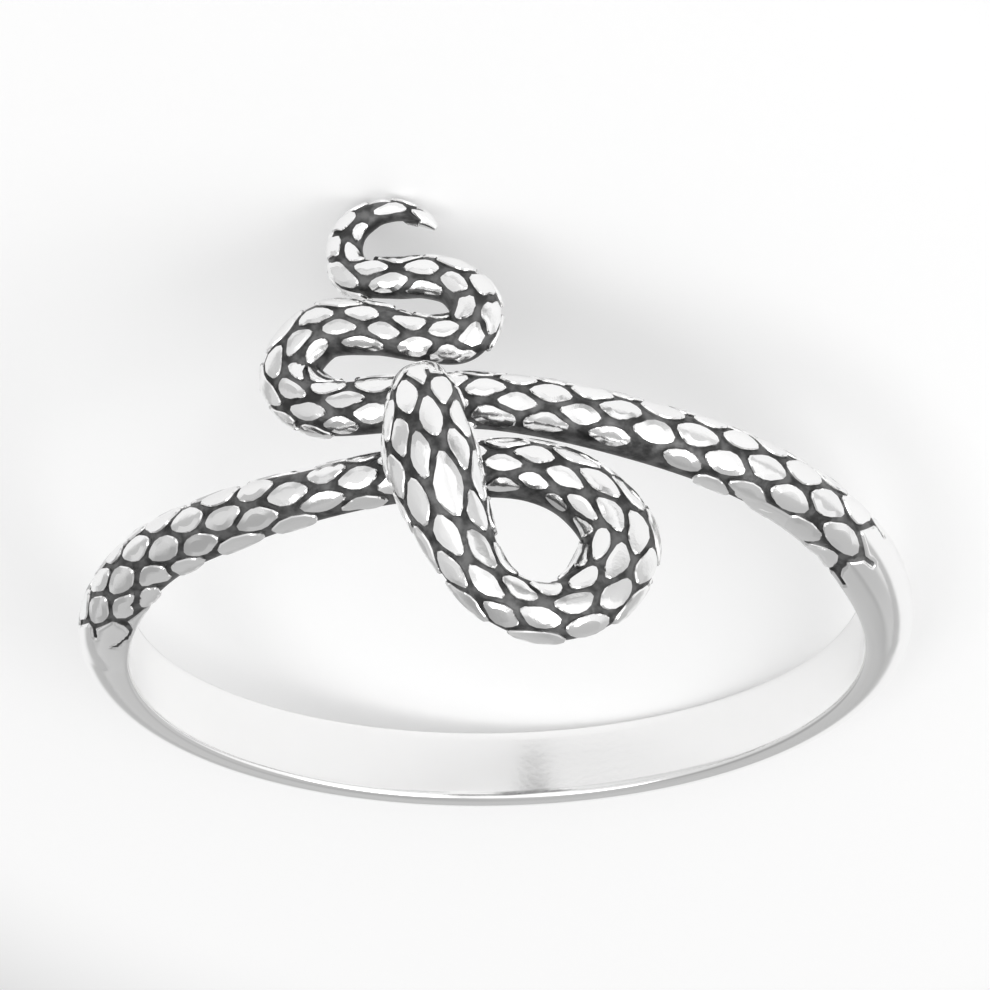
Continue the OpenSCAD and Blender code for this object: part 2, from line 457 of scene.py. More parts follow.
TAIL_ROUTE = Route(
    rows=(
        Row(100, 0.00, 0.50, 1.80, 1.42, 1.0, 1.0, 0.60, 0),
        Row(87, 0.00, 0.50, 1.84, 1.42, 1.0, 1.0, 0.66, 0),
        Row(72, 0.16, 0.52, 1.80, 1.42, 1.0, 0.0, 0.72, 0),
        Row(60, 0.38, 0.54, 1.64, 1.38, 0.9, 0.0, 0.75, 0),
        Row(48, 0.62, 0.55, 1.58, 1.36, 0.8, 0.0, 0.75, 0),
        Row(37, 0.82, 0.56, 1.55, 1.36, 0.7, 0.0, 0.75, 0),
        Row(20, 1.12, 0.58, 1.46, 1.34, 0.7, 0.0, 0.75, 0),
        Row(-1, 1.60, 0.60, 1.38, 1.32, 0.6, 0.0, 0.76, -6),
        Row(-14, 1.67, 0.64, 1.42, 1.32, 0.4, 0.0, 0.78, -12),
        Row(-25, 1.86, 0.70, 1.44, 1.32, 0.0, 0.0, 0.74, -11),
        Row(-30, 2.82, 0.72, 1.54, 1.34, 0.0, 0.0, 0.67, 4),
        Row(-25, 3.73, 0.72, 1.52, 1.32, 0.0, 0.0, 0.62, 8),
        Row(-17, 3.57, 0.70, 1.34, 1.26, 0.0, 0.0, 0.58, 6),
        Row(-10, 3.20, 0.68, 1.20, 1.22, 0.0, 0.0, 0.55, -3),
        Row(-4.6, 3.20, 0.66, 1.36, 1.20, 0.0, 0.0, 0.47, -12),
        Row(-2.6, 3.88, 0.66, 1.36, 1.20, 0.0, 0.0, 0.50, -14),
        Row(-5.2, 4.52, 0.64, 1.20, 1.16, 0.0, 0.0, 0.56, -18),
        Row(-9.5, 4.78, 0.62, 1.12, 1.12, 0.0, 0.0, 0.62, -30),
        Row(-14, 4.84, 0.60, 1.08, 1.08, 0.0, 0.0, 0.65, -34),
        Row(-19.8, 5.08, 0.57, 1.05, 1.00, 0.0, 0.0, 0.58, -38),
        Row(-21.5, 5.68, 0.55, 1.00, 0.96, 0.0, 0.0, 0.54, -45),
        Row(-20.5, 6.24, 0.53, 0.90, 0.88, 0.0, 0.0, 0.52, -45),
        Row(-17.3, 6.58, 0.50, 0.74, 0.78, 0.0, 0.0, 0.52, -45),
        Row(-14.5, 6.63, 0.47, 0.64, 0.68, 0.0, 0.0, 0.48, -45),
        Row(-12, 6.55, 0.43, 0.53, 0.58, 0.0, 0.0, 0.44, -45),
        Row(-9.6, 6.35, 0.40, 0.38, 0.40, 0.0, 0.0, 0.38, -45),
        Row(-8.1, 6.14, 0.37, 0.14, 0.14, 0.0, 0.0, 0.32, -45),
    ),
    lead=0.29,
    turn=-22,
)


class Value:
    """A number on its way through a material, on which Python's operators add Math nodes."""

    def __init__(self, nodes: "NodeBench", socket: bpy.types.NodeSocket) -> None:
        """Holds a socket and the bench that it is on."""
        self.nodes = nodes
        self.socket = socket

    def _math(self, operation: str, a: "Number", b: "Number") -> "Value":
        """Returns the result of a Math node."""
        return self.nodes.add("ShaderNodeMath", {"operation": operation}, [a, b])

    def __add__(self, other: "Number") -> "Value":
        """Adds."""
        return self._math("ADD", self, other)

    __radd__ = __add__

    def __sub__(self, other: "Number") -> "Value":
        """Subtracts."""
        return self._math("SUBTRACT", self, other)

    def __rsub__(self, other: "Number") -> "Value":
        """Subtracts from a plain number."""
        return self._math("SUBTRACT", other, self)

    def __mul__(self, other: "Number") -> "Value":
        """Multiplies."""
        return self._math("MULTIPLY", self, other)

    __rmul__ = __mul__


Number = Union[Value, float]
Grey = tuple[float, float, float, float]
Stops = tuple[tuple[float, float], ...]

# Outputs of nodes: an object's coordinates, an attribute's number and a vector's measure
OBJECT_PLACE, ATTRIBUTE_NUMBER, VECTOR_MEASURE = 3, 2, 1
# Inputs of a Mix node: its share and its two colours
MIX_INPUTS, MIX_COLOUR = (0, 6, 7), 2
# Depth of the scratches in polished silver, in metres, and how warm its grey is
SCRATCH_DEPTH, WARMTH = 2e-5, 0.002


class NodeBench:
    """A node tree that starts empty, with one method that adds any node to it."""

    def __init__(self, owner: Union[bpy.types.Material, bpy.types.World]) -> None:
        """Empties the node tree.

        Args:
            owner: The material or the world that the tree is of.
        """
        owner.use_nodes = True
        self.owner = owner
        self.tree = owner.node_tree
        self.tree.nodes.clear()

    def add(
        self, kind: str, settings: dict, inputs: Union[dict, list], output: int = 0
    ) -> Union[Value, None]:
        """Adds a node.

        Args:
            kind: The node's type.
            settings: Its settings. A ramp's stops are given as "stops", (place, grey) pairs.
            inputs: Values or links of its sockets, by place in a list or by name.
            output: Which of its outputs is wanted.

        Returns:
            The output, ready for Python's operators, or None if it has none.
        """
        node = self.tree.nodes.new(kind)
        for key, value in settings.items():
            if key == "stops":
                self._set_stops(node, value)
            else:
                setattr(node, key, value)
        pairs = enumerate(inputs) if isinstance(inputs, list) else inputs.items()
        for key, value in pairs:
            socket = node.inputs[key]
            if isinstance(value, Value):
                self.tree.links.new(value.socket, socket)
            else:
                socket.default_value = value
        return Value(self, node.outputs[output]) if len(node.outputs) else None

    @staticmethod
    def _set_stops(node: bpy.types.Node, stops: Stops) -> None:
        """Sets a colour ramp's stops.

        Args:
            node: The ramp.
            stops: The places and the greys.
        """
        ramp = node.color_ramp
        while len(ramp.elements) < len(stops):
            ramp.elements.new(0.5)
        for element, (place, grey) in zip(ramp.elements, stops):
            element.position = place
            element.color = (grey, grey, grey, 1)

    def noise(self, where: Value, scale: float, detail: float) -> Value:
        """Returns noise at a scale in lumps per metre."""
        return self.add("ShaderNodeTexNoise", {}, {"Vector": where, "Scale": scale, "Detail": detail})

    def place(self) -> Value:
        """Returns the Object coordinates."""
        return self.add("ShaderNodeTexCoord", {}, [], OBJECT_PLACE)

    def attribute(self, name: str) -> Value:
        """Returns a number that the mesh holds at each point."""
        return self.add("ShaderNodeAttribute", {"attribute_name": name}, [], ATTRIBUTE_NUMBER)

    def measure(self, operation: str, inputs: list) -> Value:
        """Returns the number that a Vector Math node gives."""
        return self.add("ShaderNodeVectorMath", {"operation": operation}, inputs, VECTOR_MEASURE)

    def spread(self, value: Value, low: float, high: float) -> Value:
        """Returns a value's 0 to 1 spread from low to high, with soft ends."""
        settings = {"interpolation_type": "SMOOTHSTEP"}
        return self.add("ShaderNodeMapRange", settings, [value, low, high, 0.0, 1.0])

    def mix(self, share: Number, a: Union[Grey, Value], b: Union[Grey, Value]) -> Value:
        """Returns a mix of two colours."""
        inputs = dict(zip(MIX_INPUTS, (share, a, b)))
        return self.add("ShaderNodeMix", {"data_type": "RGBA"}, inputs, MIX_COLOUR)

    def bump(self, height: Value, strength: float, distance: float) -> Value:
        """Returns the normal of a relief of a depth in metres."""
        return self.add("ShaderNodeBump", {}, {"Height": height, "Strength": strength, "Distance": distance})

    def ramp(self, share: Value, stops: Stops) -> Value:
        """Returns a grey that runs smoothly through stops, (place, grey) pairs."""
        return self.add("ShaderNodeValToRGB", {"stops": stops}, [share])

    def finish(self, inputs: dict) -> bpy.types.Material:
        """Adds the shader and the output.

        Args:
            inputs: Values or links of the shader's sockets.

        Returns:
            The material.
        """
        surface = self.add("ShaderNodeBsdfPrincipled", {}, inputs)
        self.add("ShaderNodeOutputMaterial", {}, {"Surface": surface})
        return self.owner


def grey(level: float, warmth: float = 0.0) -> Grey:
    """Returns a grey, with a little more red and less blue if warmth is over 0."""
    return (level * (1 + warmth), level, level * (1 - warmth), 1.0)


@dataclass(frozen=True)
class PolishedSilver:
    """Silver polished by hand, with a haze of fine scratches.

    Attributes:
        name: Name of the material.
        level: Grey of the silver.
        duller: Share of it where the silver is dullest.
        roughness: Least roughness.
        haze: Roughness that the clouds add.
        cloud_scale: Clouds per metre.
        scratch_scale: Scratches per metre.
        scratch: Strength of the scratches.
    """

    name: str = "polished_silver"
    level: float = 0.93
    duller: float = 0.97
    roughness: float = 0.10
    haze: float = 0.08
    cloud_scale: float = 900
    scratch_scale: float = 9000
    scratch: float = 0.06

    def material(self) -> bpy.types.Material:
        """Mixes the finish.

        Returns:
            Its material.
        """
        bench = NodeBench(bpy.data.materials.new(self.name))
        where = bench.place()
        cloud = bench.noise(where, self.cloud_scale, 4)
        scratches = bench.noise(where, self.scratch_scale, 2)
        colour = bench.mix(cloud, grey(self.level * self.duller, 2 * WARMTH), grey(self.level, WARMTH))
        return bench.finish(
            {
                "Base Color": colour,
                "Metallic": 1.0,
                "Roughness": self.roughness + cloud * self.haze,
                "Normal": bench.bump(scratches, self.scratch, SCRATCH_DEPTH),
            }
        )


@dataclass(frozen=True)
class ScaleSilver:
    """The scales' crowns: polished on top, and stained where their sides go down to the grooves.

    Attributes:
        name: Name of the material.
        level: Grey of the brightest scales.
        duller: Share of it on the dullest.
        stain: Grey of the stain.
        ragged: How uneven the stain's upper edge is.
        stained: Shares of the way down at which the stain starts and is full.
        roughness: Least roughness.
        uneven: Roughness that is added on the brightest scales.
        stain_rough: Roughness that the stain adds.
        cloud_scale: Clouds per metre.
        scratch_scale: Scratches per metre.
        scratch: Strength of the scratches.
    """

    name: str = "scale_silver"
    level: float = 0.94
    duller: float = 0.93
    stain: float = 0.10
    ragged: float = 0.25
    stained: tuple[float, float] = (0.35, 0.75)
    roughness: float = 0.13
    uneven: float = 0.05
    stain_rough: float = 0.3
    cloud_scale: float = 1600
    scratch_scale: float = 14000
    scratch: float = 0.10

    def material(self) -> bpy.types.Material:
        """Mixes the finish.

        Returns:
            Its material.
        """
        bench = NodeBench(bpy.data.materials.new(self.name))
        where = bench.place()
        cloud = bench.noise(where, self.cloud_scale, 3)
        scratches = bench.noise(where, self.scratch_scale, 2)
        ragged = bench.attribute("foot") + (cloud - 0.5) * self.ragged
        foot = bench.spread(ragged, *self.stained)
        tone = bench.attribute("tone")
        bright = bench.mix(tone, grey(self.level * self.duller, WARMTH), grey(self.level, WARMTH))
        colour = bench.mix(foot, bright, grey(self.stain))
        return bench.finish(
            {
                "Base Color": colour,
                "Metallic": 1.0,
                "Roughness": self.roughness + tone * self.uneven + foot * self.stain_rough,
                "Normal": bench.bump(scratches, self.scratch, SCRATCH_DEPTH),
            }
        )


@dataclass(frozen=True)
class BlackenedSilver:
    """The grooves: silver blackened by oxidation, dull and grainy, and polished where it is plain.

    Attributes:
        name: Name of the material.
        dark: Darkest grey of the grooves.
        pale: Palest grey of the grooves.
        patches: Parts of the clouds at which the grey is darkest and palest.
        level: Grey where it is polished.
        edge: Shares of polish at which that starts and is full.
        roughness: Roughness of the grooves.
        uneven: How much that varies.
        polished: Roughness where it is polished.
        cloud_scale: Clouds per metre.
        grain_scale: Grains per metre.
        grain: Strength of the grain.
        grain_depth: Its depth in metres.
    """

    name: str = "blackened_silver"
    dark: float = 0.06
    pale: float = 0.20
    patches: tuple[float, float] = (0.35, 0.68)
    level: float = 0.92
    edge: tuple[float, float] = (0.40, 0.60)
    roughness: float = 0.50
    uneven: float = 0.2
    polished: float = 0.12
    cloud_scale: float = 2600
    grain_scale: float = 12000
    grain: float = 0.5
    grain_depth: float = 3e-5

    def material(self) -> bpy.types.Material:
        """Mixes the finish.

        Returns:
            Its material.
        """
        bench = NodeBench(bpy.data.materials.new(self.name))
        where = bench.place()
        cloud = bench.noise(where, self.cloud_scale, 5)
        grain = bench.noise(where, self.grain_scale, 4)
        polish = bench.spread(bench.attribute("polish"), *self.edge)
        groove = bench.mix(bench.spread(cloud, *self.patches), grey(self.dark), grey(self.pale))
        colour = bench.mix(polish, groove, grey(self.level, WARMTH))
        relief = (grain + cloud) * (1 - polish)
        rough = self.roughness + (cloud - 0.5) * self.uneven - polish * (self.roughness - self.polished)
        return bench.finish(
            {
                "Base Color": colour,
                "Metallic": 1.0,
                "Roughness": rough,
                "Normal": bench.bump(relief, self.grain, self.grain_depth),
            }
        )


@dataclass(frozen=True)
class PaleFloor:
    """A matt white studio floor, with painted shade: greyer away from the ring, and a painted dark strip in
    front of the ring.

    The painted dark strip, with a painted bright strip beside it, lies out of the picture. The band's inside
    reflects them, and the dark strip's straight edge.

    Attributes:
        name: Name of the material.
        level: Grey near the ring.
        duller: Share of it where the floor is dullest.
        cloud_scale: Clouds per metre.
        roughness: Roughness of the floor.
        glow: Light that comes up through the floor.
        far_shade_level: Grey far from the ring, painted shade that the silver reflects.
        near: Distance at which the floor starts to be greyer, in metres.
        far: Distance at which it is as grey as it gets.
        across: The way across the painted dark strip's straight edge.
        painted_strip_start: Place across at which the painted dark strip starts to darken, in metres.
        painted_strip_span: Width of the painted dark strip and of the painted bright strip beside it.
        painted_strip_stops: Greys across them.
        painted_strip_soft: Width of the painted strips' soft back edge.
    """

    name: str = "pale_floor"
    level: float = 0.80
    duller: float = 0.99
    cloud_scale: float = 40
    roughness: float = 0.7
    glow: float = 0.26
    far_shade_level: float = 0.42
    near: float = 0.020
    far: float = 0.032
    across: tuple[float, float, float] = (1.0, -0.17, 0.0)
    painted_strip_start: float = -0.016
    painted_strip_span: float = 0.050
    painted_strip_stops: Stops = ((0.0, 0.50), (0.20, 0.24), (0.31, 0.22), (0.33, 0.85), (0.42, 0.80), (0.90, 0.46))
    painted_strip_soft: float = 0.008

    def material(self) -> bpy.types.Material:
        """Mixes the floor's colours.

        Returns:
            The material.
        """
        bench = NodeBench(bpy.data.materials.new(self.name))
        where = bench.place()
        cloud = bench.noise(where, self.cloud_scale, 2)
        away = bench.measure("LENGTH", [where])
        aside = bench.measure("DOT_PRODUCT", [where, self.across])
        front = bench.measure("DOT_PRODUCT", [where, (0, -1, 0)])
        pale = bench.mix(cloud, grey(self.level * self.duller), grey(self.level))
        # Painted shade and light: a dark strip with a straight edge and a bright strip beside it, out of the
        # picture, for the band's inside to reflect.
        painted_strip = bench.ramp((aside - self.painted_strip_start) * (1 / self.painted_strip_span), self.painted_strip_stops)
        distant = bench.mix(bench.spread(front, 0.0, self.painted_strip_soft), grey(self.far_shade_level), painted_strip)
        # Past near, the floor takes painted shade: it goes grey out of the picture, so that the silver
        # reflects grey.
        colour = bench.mix(bench.spread(away, self.near, self.far), pale, distant)
        return bench.finish(
            {
                "Base Color": colour,
                "Roughness": self.roughness,
                "Emission Color": colour,
                "Emission Strength": self.glow,
            }
        )


class Finish(Enum):
    """The ring's finishes."""

    POLISHED = PolishedSilver()
    SCALE = ScaleSilver()
    BLACKENED = BlackenedSilver()


class Workshop:
    """Turns worn meshes into pieces that lie where the construction does."""

    def __init__(self) -> None:
        """Makes each finish's material once."""
        self.materials = {finish: finish.value.material() for finish in Finish}
        self.to_floor = REST.matrix()

    def hand_in(self, name: str, mesh: bmesh.types.BMesh, finish: Finish) -> None:
        """Lays a mesh down, dresses it and fastens it to the frame.

        Args:
            name: The piece's name.
            mesh: Its mesh, in worn millimetres, which is used up.
            finish: Its finish.
        """
        bmesh.ops.recalc_face_normals(mesh, faces=mesh.faces)
        bmesh.ops.transform(mesh, matrix=self.to_floor, verts=mesh.verts)
        for face in mesh.faces:
            face.smooth = True
        data = bpy.data.meshes.new(name)
        mesh.to_mesh(data)
        mesh.free()
        data.materials.append(self.materials[finish])
        piece = in_scene(name, data)
        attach(piece, BODY)
        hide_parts(NODE)
        LOG.info("%s: %d faces", name, len(data.polygons))


def wrapped_grid(
    spans: tuple[int, int], places: tuple[float, float], skin: Callable[[np.ndarray, np.ndarray], tuple]
) -> bmesh.types.BMesh:
    """Wraps a grid round a body and closes its seam and its ends.

    Args:
        spans: Faces along the body and round it.
        places: First and last place along the route.
        skin: Gives the points and the polish for places and turns.

    Returns:
        The closed skin, with the polish of each point.
    """
    mesh = bmesh.new()
    polish = mesh.verts.layers.float.new("polish")
    bmesh.ops.create_grid(mesh, x_segments=spans[0], y_segments=spans[1], size=0.5)
    flat = np.array([v.co for v in mesh.verts])
    place = places[0] + (flat[:, 0] + 0.5) * (places[1] - places[0])
    points, shine = skin(place, flat[:, 1] * 360)
    for vert, point, level in zip(mesh.verts, points, shine):
        vert.co = point
        vert[polish] = level
    bmesh.ops.remove_doubles(mesh, verts=mesh.verts, dist=1e-4)
    rims = [edge for edge in mesh.edges if edge.is_boundary]
    for edge in rims:
        edge.smooth = False
    bmesh.ops.holes_fill(mesh, edges=rims, sides=0)
    return mesh


@dataclass(frozen=True)
class Band:
    """The plain band round the lower half of the finger, between the two arms.

    Attributes:
        left_end: Angle round the finger at which the left arm takes over.
        right_end: The same angle for the right arm.
        around: Points round the profile.
        spans: Faces along the band.
        under: How far the band lies under its profile, so that the arms' skin covers its ends.
    """

    left_end: float = -92.0
    right_end: float = 87.0
    around: int = 96
    spans: int = 240
    under: float = 0.004

    def build(self, shop: Workshop) -> None:
        """Spins the profile round the finger from one arm to the other.

        Args:
            shop: Where the piece is finished.
        """
        mesh = bmesh.new()
        ring = bmesh.ops.create_circle(mesh, segments=self.around, radius=1)["verts"]
        start = math.radians(self.left_end)
        out, along = Vector((math.sin(start), 0, math.cos(start))), Vector((0, 1, 0))
        for k, vert in enumerate(ring):
            turn = 360 * k / self.around
            radius = float(PROFILE.radius(np.array(turn))) - self.under
            across = radius * math.sin(math.radians(turn))
            lift = PROFILE.middle + radius * math.cos(math.radians(turn))
            vert.co = out * (FINGER_R + lift) + along * across
        bmesh.ops.contextual_create(mesh, geom=list(mesh.edges))
        way = math.radians(self.left_end + 360 - self.right_end)
        bmesh.ops.spin(
            mesh, geom=list(mesh.faces), cent=(0, 0, 0), axis=(0, 1, 0), angle=-way,
            steps=self.spans, use_merge=False, use_duplicate=False,
        )
        for face in mesh.faces:
            if len(face.verts) > 4:
                for edge in face.edges:
                    edge.smooth = False
        shop.hand_in("band", mesh, Finish.POLISHED)


@dataclass(frozen=True)
class ScaleStamp:
    """One scale on an outline of radius 1: a flat top, a bevelled rim and a wall down to its foot.

    Attributes:
        corners: Corners of the outline.
        shoulder: Share of the outline at the bevel's foot.
        edge: Share at the bevel's top.
        inner: Share of the ring that carries the crown.
        foot_depth: Depth of the foot under the skin.
        shoulder_depth: Depth of the bevel's foot under the skin.
        crown: Height of the middle over the skin.
        ridge: Most that a ridge from end to end adds to it.
    """

    corners: int = 16
    shoulder: float = 0.97
    edge: float = 0.90
    inner: float = 0.50
    foot_depth: float = 0.13
    shoulder_depth: float = 0.035
    crown: float = 0.006
    ridge: float = 0.022

    def mesh(self) -> bpy.types.Mesh:
        """Models the stamp, whose foot lies under the rest.

        Returns:
            The mesh.
        """
        work = bmesh.new()
        bmesh.ops.create_cone(
            work, cap_ends=True, cap_tris=False, segments=self.corners,
            radius1=1, radius2=self.shoulder, depth=1,
        )
        top = max(work.faces, key=lambda face: face.calc_center_median().z)
        apothem = math.cos(math.pi / self.corners)
        for outer, inner in ((self.shoulder, self.edge), (self.edge, self.inner)):
            for edge in top.edges:
                edge.smooth = False
            bmesh.ops.inset_individual(work, faces=[top], thickness=(outer - inner) * apothem)
        bmesh.ops.poke(work, faces=[top])
        data = bpy.data.meshes.new("scale_stamp")
        work.to_mesh(data)
        work.free()
        return data

    def height(self, theta: np.ndarray, share: np.ndarray, foot: np.ndarray, ridge: float) -> np.ndarray:
        """Gives the heights of a stamp's points over the skin.

        Args:
            theta: Directions of the points from the way ahead.
            share: Shares of the outline.
            foot: Which points are the foot's.
            ridge: Share of the most that a ridge adds.

        Returns:
            The heights.
        """
        dome = 1 - (share / self.edge) ** 2
        top = dome * (self.crown + ridge * self.ridge * (1 - np.abs(np.sin(theta)) * np.sqrt(share)))
        bevel = -self.shoulder_depth * (share - self.edge) / (self.shoulder - self.edge)
        return np.where(foot, -self.foot_depth, np.where(share > self.edge, bevel, top))


@dataclass(frozen=True)
class ScaleChart:
    """Where the photograph shows the scales of one route, by the pixels of their middles.

    Attributes:
        seen: Scales.
        joined: Scales that run into the plain band or tip.
        bare: Places of the blackened skin where no scale lies.
        large: Scales that take more than their share of room.
        first: First round of scales; the round before it is joined to the band.
        last: Last round of scales; the round after it is joined to the plain end.
        around: Scales in a round from each place on, as (place, number) pairs.
        covered: Places between which another body hides this one from the camera.
        widest: Largest turn from the outward direction at which a hidden scale may lie.
    """

    seen: tuple[tuple[int, int], ...]
    joined: tuple[tuple[int, int], ...]
    bare: tuple[tuple[int, int], ...]
    large: tuple[tuple[int, int], ...]
    first: int
    last: int
    around: tuple[tuple[float, int], ...]
    covered: tuple[float, float]
    widest: float = 118.0


class Kind(Enum):
    """What lies at a place of a field."""

    SCALE = 0
    JOINED = 1
    BARE = 2


class ScaleField:
    """The scales of one route: their middles, and how far each reaches towards its neighbours.

    Attributes:
        squeeze: How much lengths along the body count, because scales are longer than wide.
        groove: Width of the grooves.
        rounding: How sharp an outline's corners are.
        softness: Turn over which an outline is evened out, in radians.
        reach_cap: Most that a scale reaches where it has no neighbour.
        crowding: Share of the usual spacing that a filled scale needs.
        finger_clear: Height over the finger under which no hidden scale lies.
        least_hidden: How squarely skin may face the camera and still count as hidden.
        large_share: Room that a large scale takes from its neighbours.
        uneven_place: Most that a filled scale is off its place.
        uneven_turn: Most that it is off its turn.
        near_places: Most places between neighbours.
        near_turn: Most turn between them.
        borders: Places after the first round and before the last where nothing bare is filled in.
        lopsided: Most that an outline is off its middle.
        open_reach: Most that one neighbour leaves to a scale.
    """

    squeeze = 0.50
    groove = 0.10
    rounding = 11.0
    softness = 0.30
    reach_cap = 0.85
    crowding = 0.80
    finger_clear = 0.35
    least_hidden = 0.15
    large_share = 0.22
    uneven_place = 0.06
    uneven_turn = 4
    near_places = 3.0
    near_turn = 100
    borders = (1.2, 0.8)
    lopsided = 0.05
    open_reach = 5.0

    def __init__(self, route: Route, chart: ScaleChart, seed: int) -> None:
        """Sets the charted scales and fills the hidden sides.

        Args:
            route: The route that they lie on.
            chart: What the photograph shows.
            seed: Seed of the hidden scales' unevenness.
        """
        self.route = route
        self.chart = chart
        self.rng = random.Random(seed)
        charted = ((Kind.SCALE, chart.seen), (Kind.JOINED, chart.joined), (Kind.BARE, chart.bare))
        places = [(place, turn, kind.value) for kind, pixels in charted for place, turn in route.find(pixels)]
        self.place, self.turn, self.kind = (np.array(column) for column in zip(*places))
        self.large = {chart.seen.index(pixel) for pixel in chart.large}
        for round_ in range(chart.first - 1, chart.last + 2):
            around = [number for place, number in chart.around if place <= round_][-1]
            for index in range(around):
                turn = route.line(round_, index, around)
                turn += self.rng.uniform(-self.uneven_turn, self.uneven_turn)
                place = round_ + self.rng.uniform(-self.uneven_place, self.uneven_place)
                joined = round_ < chart.first or round_ > chart.last
                self._fill(place, turn, joined, around)

    @property
    def joined(self) -> np.ndarray:
        """Returns the numbers of the scales that are joined to the plain band or tip."""
        return np.flatnonzero(self.kind == Kind.JOINED.value)

    def _fill(self, place: float, turn: float, joined: bool, around: int) -> None:
        """Adds a hidden scale, or a bare place, where there is room for it.

        Args:
            place: Its place.
            turn: Its turn.
            joined: Whether it is joined to the plain band or tip.
            around: Scales in its round.
        """
        turn = (turn + 180) % 360 - 180
        along, across, _, _ = self._way(place, turn, np.arange(len(self.place)))
        pitch = self.route.pitch(place, turn)
        spacing = math.hypot(self.squeeze * pitch[0], 180 / around * pitch[1])
        if np.hypot(along, across).min() > self.crowding * spacing:
            kind = Kind.JOINED if joined else Kind.BARE if self._is_bare(place, turn) else Kind.SCALE
            before, after = self.borders
            at_border = not self.chart.first + before < place < self.chart.last - after
            if kind is Kind.BARE and at_border:
                return
            self.place = np.append(self.place, place)
            self.turn = np.append(self.turn, turn)
            self.kind = np.append(self.kind, kind.value)

    def _is_bare(self, place: float, turn: float) -> bool:
        """Tells whether a place that isn't charted is bare: at the finger, or seen without a scale.

        Args:
            place: The place.
            turn: Its turn.

        Returns:
            Whether it is.
        """
        middle = self.route.skin(place, turn, 0.0)
        at_finger = math.hypot(middle[0], middle[2]) < FINGER_R + self.finger_clear
        covered = self.chart.covered[0] < place < self.chart.covered[1]
        seen = self.route.facing(place, turn) > self.least_hidden and not covered
        return abs(turn) > self.chart.widest or at_finger or seen

    def _way(self, place: float, turn: float, others: np.ndarray) -> tuple[np.ndarray, ...]:
        """Gives the way from one place to other scales, squeezed along the body.

        Args:
            place: The place.
            turn: Its turn.
            others: Numbers of the other scales.

        Returns:
            The millimetres along and across, and the pitches halfway.
        """
        ahead = self.place[others] - place
        round_ = (self.turn[others] - turn + 180) % 360 - 180
        pitch = self.route.pitch(place + ahead / 2, turn + round_ / 2)
        return self.squeeze * ahead * pitch[0], round_ * pitch[1], self.squeeze * pitch[0], pitch[1]

    def _near(self, scale: int) -> np.ndarray:
        """Finds the scales that may be a scale's neighbours.

        Args:
            scale: The scale's number.

        Returns:
            Their numbers.
        """
        ahead = np.abs(self.place - self.place[scale])
        round_ = np.abs((self.turn - self.turn[scale] + 180) % 360 - 180)
        near = (ahead < self.near_places) & (round_ < self.near_turn)
        near[scale] = False
        return np.flatnonzero(near)

    def outline(
        self, scale: int, theta: np.ndarray, share: np.ndarray
    ) -> tuple[np.ndarray, np.ndarray, float]:
        """Gives points of a scale that fills its room up to the grooves.

        Args:
            scale: The scale's number.
            theta: Directions of the points, in radians from the way ahead.
            share: Shares of the outline.

        Returns:
            The places and turns of the points, and the outline's least radius.
        """
        place, turn = self.place[scale], self.turn[scale]
        near = self._near(scale)
        along, across, pitch_along, pitch_across = self._way(place, turn, near)
        own = self.route.pitch(place, turn)
        own_along, own_across = self.squeeze * own[0], own[1]
        room = 1 + self.large_share * (float(scale in self.large) - np.isin(near, list(self.large)))
        radius = np.zeros(theta.shape)
        asides = (-self.softness, 0, self.softness)
        for aside in asides:
            cosine, sine = np.cos(theta + aside)[:, None], np.sin(theta + aside)[:, None]
            towards = cosine * along * pitch_along / own_along + sine * across * pitch_across / own_across
            reach = room * (along**2 + across**2) / 2 / np.maximum(towards, 1e-3)
            reach = np.minimum(reach, self.open_reach)
            blend = np.sum(reach**-self.rounding, 1) + self.reach_cap**-self.rounding
            radius += (blend ** (-1 / self.rounding) - self.groove / 2) / len(asides)
        radius *= 1 + self.rng.uniform(0, self.lopsided) * np.cos(theta + self.rng.uniform(0, 2 * math.pi))
        places = place + share * (radius * np.cos(theta)) / own_along
        turns = turn + share * (radius * np.sin(theta)) / own_across
        return places, turns, float(radius.min())

    def _beyond(self, place: np.ndarray, turn: np.ndarray) -> np.ndarray:
        """Gives how far points lie past the middles of the joined scales.

        Args:
            place: Places along the route.
            turn: Turns round the body.

        Returns:
            The millimetres, which are negative among the scales.
        """
        beyond = np.full(place.shape, -1.0)
        for outwards in (-1, 1):
            group = self.joined[outwards * (self.place[self.joined] - self.route.end / 2) > 0]
            front = np.interp(turn, self.turn[group], self.place[group], period=360)
            beyond = np.maximum(beyond, outwards * (place - front) * self.route.pitch(place, turn)[0])
        return beyond

    def plain(self, place: np.ndarray, turn: np.ndarray) -> np.ndarray:
        """Gives how far inside the plain band or tip points lie.

        Args:
            place: Places along the route.
            turn: Turns round the body.

        Returns:
            The millimetres, which are negative among the scales.
        """
        best = self._beyond(place, turn)
        for joined in self.joined:
            others = self._near(joined)
            way = self._way(self.place[joined], self.turn[joined], others)
            inside = np.full(place.shape, 1.0)
            ahead = place - self.place[joined]
            round_ = (turn - self.turn[joined] + 180) % 360 - 180
            for along, across, pitch_along, pitch_across in zip(*way):
                far = math.hypot(along, across)
                reached = (ahead * pitch_along * along + round_ * pitch_across * across) / far
                inside = np.minimum(inside, far / 2 - reached - self.groove / 2)
            best = np.maximum(best, inside)
        return best


@dataclass(frozen=True)
class BodyLength:
    """One length of the snake, between two places on its route.

    Attributes:
        name: Its name.
        start: Its first place.
        end: Its last place.
    """

    name: str
    start: float
    end: float


